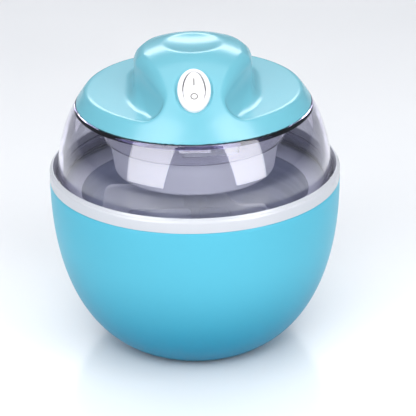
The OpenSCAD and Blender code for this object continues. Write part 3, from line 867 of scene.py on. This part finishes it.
def noise(mat, scale, detail=2.0, stretch=(1, 1, 1)):
    """Noise texture fixed to the object, optionally stretched."""
    tree = mat.node_tree
    coordinate = tree.nodes.new("ShaderNodeTexCoord")
    mapping = tree.nodes.new("ShaderNodeMapping")
    mapping.inputs["Scale"].default_value = stretch
    texture = tree.nodes.new("ShaderNodeTexNoise")
    texture.inputs["Scale"].default_value = scale
    texture.inputs["Detail"].default_value = detail
    tree.links.new(coordinate.outputs["Object"], mapping.inputs["Vector"])
    tree.links.new(mapping.outputs["Vector"], texture.inputs["Vector"])
    return texture.outputs["Fac"]


def tint(mat, source, low, high):
    """Base colour that drifts between two near shades."""
    ramp = mat.node_tree.nodes.new("ShaderNodeValToRGB")
    ramp.color_ramp.elements[0].position = 0.3
    ramp.color_ramp.elements[1].position = 0.7
    ramp.color_ramp.elements[0].color = low
    ramp.color_ramp.elements[1].color = high
    mat.node_tree.links.new(source, ramp.inputs["Fac"])
    surface = mat.node_tree.nodes["Principled BSDF"]
    mat.node_tree.links.new(ramp.outputs["Color"], surface.inputs["Base Color"])


def vary_roughness(mat, source, low, high):
    """Roughness that drifts between two values."""
    span = mat.node_tree.nodes.new("ShaderNodeMapRange")
    span.inputs["From Min"].default_value = 0.3
    span.inputs["From Max"].default_value = 0.7
    span.inputs["To Min"].default_value = low
    span.inputs["To Max"].default_value = high
    mat.node_tree.links.new(source, span.inputs["Value"])
    surface = mat.node_tree.nodes["Principled BSDF"]
    mat.node_tree.links.new(span.outputs["Result"], surface.inputs["Roughness"])


def emboss(mat, source, strength, depth_mm):
    """Fine relief on the surface."""
    bump = mat.node_tree.nodes.new("ShaderNodeBump")
    bump.inputs["Strength"].default_value = strength
    bump.inputs["Distance"].default_value = depth_mm * MM
    mat.node_tree.links.new(source, bump.inputs["Height"])
    mat.node_tree.links.new(bump.outputs["Normal"], mat.node_tree.nodes["Principled BSDF"].inputs["Normal"])


def scaled(colour, factor):
    return [c * factor for c in colour[:3]] + [1.0]


def moulded(name, colour, roughness, gloss=0.5, drift=0.012, grain=0.05):
    """Injection-moulded plastic: slight drift of shade and shine, and a faint grain."""
    mat = shade(name, Specular_IOR_Level=gloss, IOR=1.5)
    tint(mat, noise(mat, 14.0), scaled(colour, 1 - drift), scaled(colour, 1 + drift))
    vary_roughness(mat, noise(mat, 25.0), roughness * 0.97, roughness * 1.04)
    emboss(mat, noise(mat, 900.0), grain, 0.05)
    return mat


def paint_foot_shade(mat, low_z, high_z, colour):
    """Painted shade: base colour darkened towards the foot, between two heights in millimetres, standing in
    for the shade low on the tub.
    """
    tree = mat.node_tree
    shader = tree.nodes["Principled BSDF"]
    upper = shader.inputs["Base Color"].links[0].from_socket
    coordinate = tree.nodes.new("ShaderNodeTexCoord")
    split = tree.nodes.new("ShaderNodeSeparateXYZ")
    level = tree.nodes.new("ShaderNodeMapRange")
    level.interpolation_type = "SMOOTHSTEP"
    level.inputs["From Min"].default_value = low_z * MM
    level.inputs["From Max"].default_value = high_z * MM
    mix = tree.nodes.new("ShaderNodeMix")
    mix.data_type = "RGBA"
    mix.inputs["A"].default_value = colour
    tree.links.new(coordinate.outputs["Object"], split.inputs["Vector"])
    tree.links.new(split.outputs["Z"], level.inputs["Value"])
    tree.links.new(level.outputs["Result"], mix.inputs["Factor"])
    tree.links.new(upper, mix.inputs["B"])
    tree.links.new(mix.outputs["Result"], shader.inputs["Base Color"])


def blue_gloss():
    """Sky blue of the tub, with painted shade that darkens it towards the foot."""
    mat = moulded("blue_gloss", rgb(88, 184, 208), 0.34, 0.14)
    # Painted shade: the tub's blue is darkened towards the foot to stand in for the shade that falls there.
    paint_foot_shade(mat, 0.0, 86.0, rgb(0, 128, 162))
    return mat


def blue_satin():
    return moulded("blue_satin", rgb(112, 184, 200), 0.2)


def rim_white():
    return moulded("rim_white", rgb(200, 203, 209), 0.2)


def liner_white():
    return moulded("liner_white", rgb(182, 187, 200), 0.4)


def drum_grey():
    return moulded("drum_grey", rgb(222, 225, 233), 0.32)


def switch_white():
    return moulded("switch_white", rgb(240, 240, 242), 0.22)


def mark_ink():
    return moulded("mark_ink", rgb(120, 116, 114), 0.45)


def clear_acrylic():
    """Clear wall of the dome."""
    mat = shade("clear_acrylic", Transmission_Weight=1.0, IOR=1.49, Coat_Weight=1.0, Coat_IOR=1.7)
    mat.node_tree.nodes["Principled BSDF"].inputs["Coat Roughness"].default_value = 0.0
    tint(mat, noise(mat, 9.0), [0.975, 0.985, 0.995, 1.0], [0.99, 0.995, 1.0, 1.0])
    vary_roughness(mat, noise(mat, 30.0), 0.0, 0.03)
    pass_light(mat, 0.92)
    thicken(mat, 130.0, (0.50, 0.47, 0.62, 1.0))
    return mat


def pass_light(mat, share):
    """Lets direct light through a clear wall on to what is inside."""
    tree = mat.node_tree
    path = tree.nodes.new("ShaderNodeLightPath")
    level = tree.nodes.new("ShaderNodeMapRange")
    level.inputs["To Max"].default_value = share
    mix = tree.nodes.new("ShaderNodeMixShader")
    clear = tree.nodes.new("ShaderNodeBsdfTransparent")
    tree.links.new(path.outputs["Is Shadow Ray"], level.inputs["Value"])
    tree.links.new(level.outputs["Result"], mix.inputs["Fac"])
    tree.links.new(tree.nodes["Principled BSDF"].outputs["BSDF"], mix.inputs[1])
    tree.links.new(clear.outputs["BSDF"], mix.inputs[2])
    tree.links.new(mix.outputs["Shader"], tree.nodes["Material Output"].inputs["Surface"])


def thicken(mat, density, colour):
    """Loss of light inside a clear wall, seen mostly where the view runs along it."""
    tree = mat.node_tree
    loss = tree.nodes.new("ShaderNodeVolumeAbsorption")
    loss.inputs["Density"].default_value = density
    loss.inputs["Color"].default_value = colour
    tree.links.new(loss.outputs["Volume"], tree.nodes["Material Output"].inputs["Volume"])


def frosted_acrylic():
    """Milky plastic of the paddle."""
    mat = shade("frosted_acrylic", Transmission_Weight=0.45, IOR=1.47, Subsurface_Weight=0.0)
    tint(mat, noise(mat, 20.0), rgb(205, 210, 222), rgb(222, 226, 236))
    vary_roughness(mat, noise(mat, 60.0), 0.3, 0.42)
    emboss(mat, noise(mat, 700.0), 0.1, 0.05)
    return mat


def spun_aluminium():
    """Cup metal with fine rings from spinning."""
    mat = shade("spun_aluminium", Metallic=1.0)
    rings = noise(mat, 260.0, 3.0, (0.02, 0.02, 1.0))
    tint(mat, rings, rgb(196, 202, 216), rgb(218, 222, 234))
    vary_roughness(mat, noise(mat, 90.0), 0.3, 0.42)
    emboss(mat, rings, 0.12, 0.04)
    return mat


def gel():
    """Blue-white cooling gel between the walls of the bowl."""
    mat = shade("cooling_gel", Transmission_Weight=0.5, IOR=1.34)
    tint(mat, noise(mat, 35.0, 4.0), rgb(170, 206, 226), rgb(214, 232, 242))
    vary_roughness(mat, noise(mat, 60.0), 0.2, 0.4)
    return mat


def soft_rubber():
    return moulded("soft_rubber", rgb(88, 90, 96), 0.6, 0.35, 0.06, 0.2)


def metal(name, colour, low, high, scale=180.0):
    """Drawn or machined metal with a fine grain."""
    mat = shade(name, Metallic=1.0)
    tint(mat, noise(mat, scale), scaled(colour, 0.93), scaled(colour, 1.05))
    vary_roughness(mat, noise(mat, scale * 2), low, high)
    emboss(mat, noise(mat, scale * 5), 0.08, 0.03)
    return mat


def steel():
    return metal("bright_steel", rgb(196, 198, 204), 0.22, 0.34)


def dark_steel():
    return metal("stamped_steel", rgb(120, 122, 130), 0.35, 0.5)


def brass():
    return metal("brass_blade", rgb(214, 178, 96), 0.25, 0.4)


def bronze():
    return metal("sintered_bronze", rgb(168, 124, 74), 0.4, 0.55)


def magnet():
    return metal("ferrite", rgb(64, 64, 70), 0.5, 0.65)


def copper():
    """Enamelled winding wire, laid in turns."""
    mat = shade("enamelled_copper", Metallic=0.8)
    turns = noise(mat, 900.0, 1.0, (0.05, 0.05, 1.0))
    tint(mat, turns, rgb(150, 74, 34), rgb(206, 118, 62))
    vary_roughness(mat, noise(mat, 200.0), 0.25, 0.4)
    emboss(mat, turns, 0.5, 0.2)
    return mat


def nylon_black():
    return moulded("nylon_black", rgb(40, 41, 45), 0.45, 0.4, 0.08, 0.12)


def nylon_natural():
    return moulded("nylon_natural", rgb(226, 220, 202), 0.42, 0.45, 0.03, 0.1)


def wire_red():
    return moulded("wire_red", rgb(170, 40, 36), 0.38)


MATERIAL_OF_SLOT = {
    "blue_tub": blue_gloss(),
    "blue_head": blue_satin(),
    "white_rim": rim_white(),
    "white_liner": liner_white(),
    "grey_drum": drum_grey(),
    "clear_plastic": clear_acrylic(),
    "frosted_plastic": frosted_acrylic(),
    "bowl_metal": spun_aluminium(),
    "coolant": gel(),
    "rubber_grey": soft_rubber(),
    "steel": steel(),
    "dark_steel": dark_steel(),
    "white_switch": switch_white(),
    "black_nylon": nylon_black(),
    "brass_blade": brass(),
    "bronze": bronze(),
    "natural_nylon": nylon_natural(),
    "copper_wire": copper(),
    "magnet": magnet(),
    "wire_red": wire_red(),
}

SLOT_OF_NODE = {
    "base_plate": "white_liner",
    "rubber_feet": "rubber_grey",
    "base_screws": "steel",
    "coolant_gel": "coolant",
    "housing_screws": "steel",
    "terminal_block": "natural_nylon",
    "lead_wires": "wire_red",
    "switch_body": "black_nylon",
    "switch_terminals": "brass_blade",
    "gear_case": "black_nylon",
    "gear_plate": "dark_steel",
    "motor_can": "dark_steel",
    "coil_bobbin": "natural_nylon",
    "coil_winding": "copper_wire",
    "stator_poles": "dark_steel",
    "rotor_pin": "steel",
    "idler_pin": "steel",
    "output_bushing": "bronze",
    "shaft_seal": "rubber_grey",
    "motor_screws": "steel",
    "rotor_magnet": "magnet",
    "rotor_pinion": "natural_nylon",
    "idler_gear": "natural_nylon",
    "output_shaft": "steel",
    "output_gear": "natural_nylon",
}


def dress(piece, body, slot, *nodes):
    """Material, body and CAD nodes of a finished piece."""
    piece.data.materials.append(MATERIAL_OF_SLOT[slot])
    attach(piece, body)
    if nodes:
        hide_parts(*nodes)


def dress_frame():
    """Materials of the CAD nodes that are shown as they are."""
    for node, slot in SLOT_OF_NODE.items():
        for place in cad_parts[node].material_slots:
            place.material = MATERIAL_OF_SLOT[slot]


def build_pieces():
    """Every smooth piece, with the CAD node that it stands for."""
    dress(make_tub(), "base", "blue_tub", "outer_body")
    dress(make_rim(), "base", "white_rim", "rim_ring")
    dress(make_liner(), "base", "white_liner", "inner_liner")
    dress(make_bowl_shell(), "bowl", "white_liner", "bowl_shell")
    dress(make_bowl_cup(), "bowl", "bowl_metal", "bowl_cup")
    dress(make_bowl_rim(), "bowl", "white_liner", "bowl_rim")
    dress(make_dome(), "lid", "clear_plastic", "clear_dome")
    dress(make_seal(), "lid", "rubber_grey", "dome_seal")
    dress(make_cover(), "head", "blue_head", "head_cover")
    dress(make_drum(), "head", "grey_drum", "lower_housing")
    for post in make_motor_posts():
        dress(post, "head", "grey_drum")
    dress(make_gland(), "head", "rubber_grey", "cord_gland")
    dress(make_bezel(), "head", "white_switch", "switch_bezel")
    dress(make_rocker(), "rocker", "white_switch", "switch_rocker")
    ink = mark_ink()
    for mark in (make_line_mark(), make_ring_mark()):
        mark.data.materials.append(ink)
        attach(mark, "rocker")
    dress(make_paddle(), "drive", "frosted_plastic", "paddle")


# ---------------------------------------------------------------- stage, light and camera


def make_floor():
    """Pale, faintly glossy table top that fills the view."""
    half = 6.0
    points = np.array([(-half, -half, 0), (half, -half, 0), (half, half, 0), (-half, half, 0)]) / MM
    floor = add_piece("floor", points, [(0, 1, 2, 3)])
    mat = shade("floor_white", Specular_IOR_Level=0.2)
    tint(mat, noise(mat, 3.0), rgb(238, 240, 242), rgb(241, 243, 245))
    vary_roughness(mat, noise(mat, 8.0), 0.16, 0.2)
    floor.data.materials.append(mat)


def add_softbox(name, place, aim, width, height, power, colour=(1, 1, 1)):
    """Rectangular studio light that faces a point."""
    data = bpy.data.lights.new(name, "AREA")
    data.shape = "RECTANGLE"
    data.size = width
    data.size_y = height
    data.energy = power
    data.color = colour
    lamp = bpy.data.objects.new(name, data)
    bpy.context.scene.collection.objects.link(lamp)
    lamp.location = place
    lamp.rotation_euler = (Vector(aim) - Vector(place)).to_track_quat("-Z", "Y").to_euler()
    return lamp


def make_lights():
    """Upright softboxes beside the camera, one above it, one overhead and a wall behind."""
    middle = (0, 0, 0.1)
    for name, place, width in (("left", (-0.66, -0.76, 0.74), 0.74), ("right", (0.72, -0.70, 0.74), 0.62)):
        add_softbox(f"{name}_box", place, middle, width, 1.3, 8.0)
        glint = add_softbox(f"{name}_glint", place, middle, width, 1.3, 22.0)
        glint.visible_diffuse = False
    front = add_softbox("front_box", (0, -1.9, 1.9), middle, 1.2, 0.8, 18.0)
    front.visible_glossy = False
    add_softbox("top_box", (0, 0.2, 2.2), middle, 2.0, 2.0, 20.0)
    behind = (0, BACK_Y, WALL_MID_Z)
    wall = add_softbox("back_wall", behind, (0, 0, WALL_MID_Z), 6.0, 2 * WALL_MID_Z, 66.0)
    wall.visible_glossy = False
    sheen = add_softbox("back_sheen", (0, BACK_Y, 1.0), (0, 0, 1.0), 2.4, 2.0, 84.0)
    sheen.visible_diffuse = False


def make_world():
    """Pale room: brighter at the horizon than overhead."""
    world = bpy.data.worlds.new("room")
    bpy.context.scene.world = world
    world.use_nodes = True
    tree = world.node_tree
    coordinate = tree.nodes.new("ShaderNodeTexCoord")
    split = tree.nodes.new("ShaderNodeSeparateXYZ")
    ramp = tree.nodes.new("ShaderNodeValToRGB")
    ramp.color_ramp.elements[0].position = 0.0
    ramp.color_ramp.elements[0].color = (0.17, 0.18, 0.22, 1)
    ramp.color_ramp.elements[1].position = 0.9
    ramp.color_ramp.elements[1].color = (0.12, 0.125, 0.15, 1)
    background = tree.nodes["Background"]
    background.inputs["Strength"].default_value = 1.0
    tree.links.new(coordinate.outputs["Generated"], split.inputs["Vector"])
    tree.links.new(split.outputs["Z"], ramp.inputs["Fac"])
    tree.links.new(ramp.outputs["Color"], background.inputs["Color"])


def make_camera():
    """Long lens, looking down at the front from a little above."""
    elevation = math.radians(VIEW_ELEVATION)
    roll = math.radians(VIEW_ROLL)
    swing = Matrix.Rotation(math.radians(VIEW_SWING), 3, "Z")
    right = Vector((1, 0, 0))
    ahead = Vector((0, math.cos(elevation), -math.sin(elevation)))
    up = right.cross(ahead)
    columns = (
        right * math.cos(roll) - up * math.sin(roll),
        right * math.sin(roll) + up * math.cos(roll),
        -ahead,
    )
    turn = swing @ Matrix(columns).transposed()
    data = bpy.data.cameras.new("photo_camera")
    data.sensor_width = 36.0
    data.lens = VIEW_LENS
    data.clip_end = 50.0
    camera = bpy.data.objects.new("photo_camera", data)
    bpy.context.scene.collection.objects.link(camera)
    place = swing @ Vector(VIEW_PLACE) * MM
    camera.matrix_world = Matrix.Translation(place) @ turn.to_4x4()
    bpy.context.scene.camera = camera


build_pieces()
dress_frame()
make_floor()
make_lights()
make_world()
make_camera()
bpy.context.scene.view_settings.view_transform = "Standard"
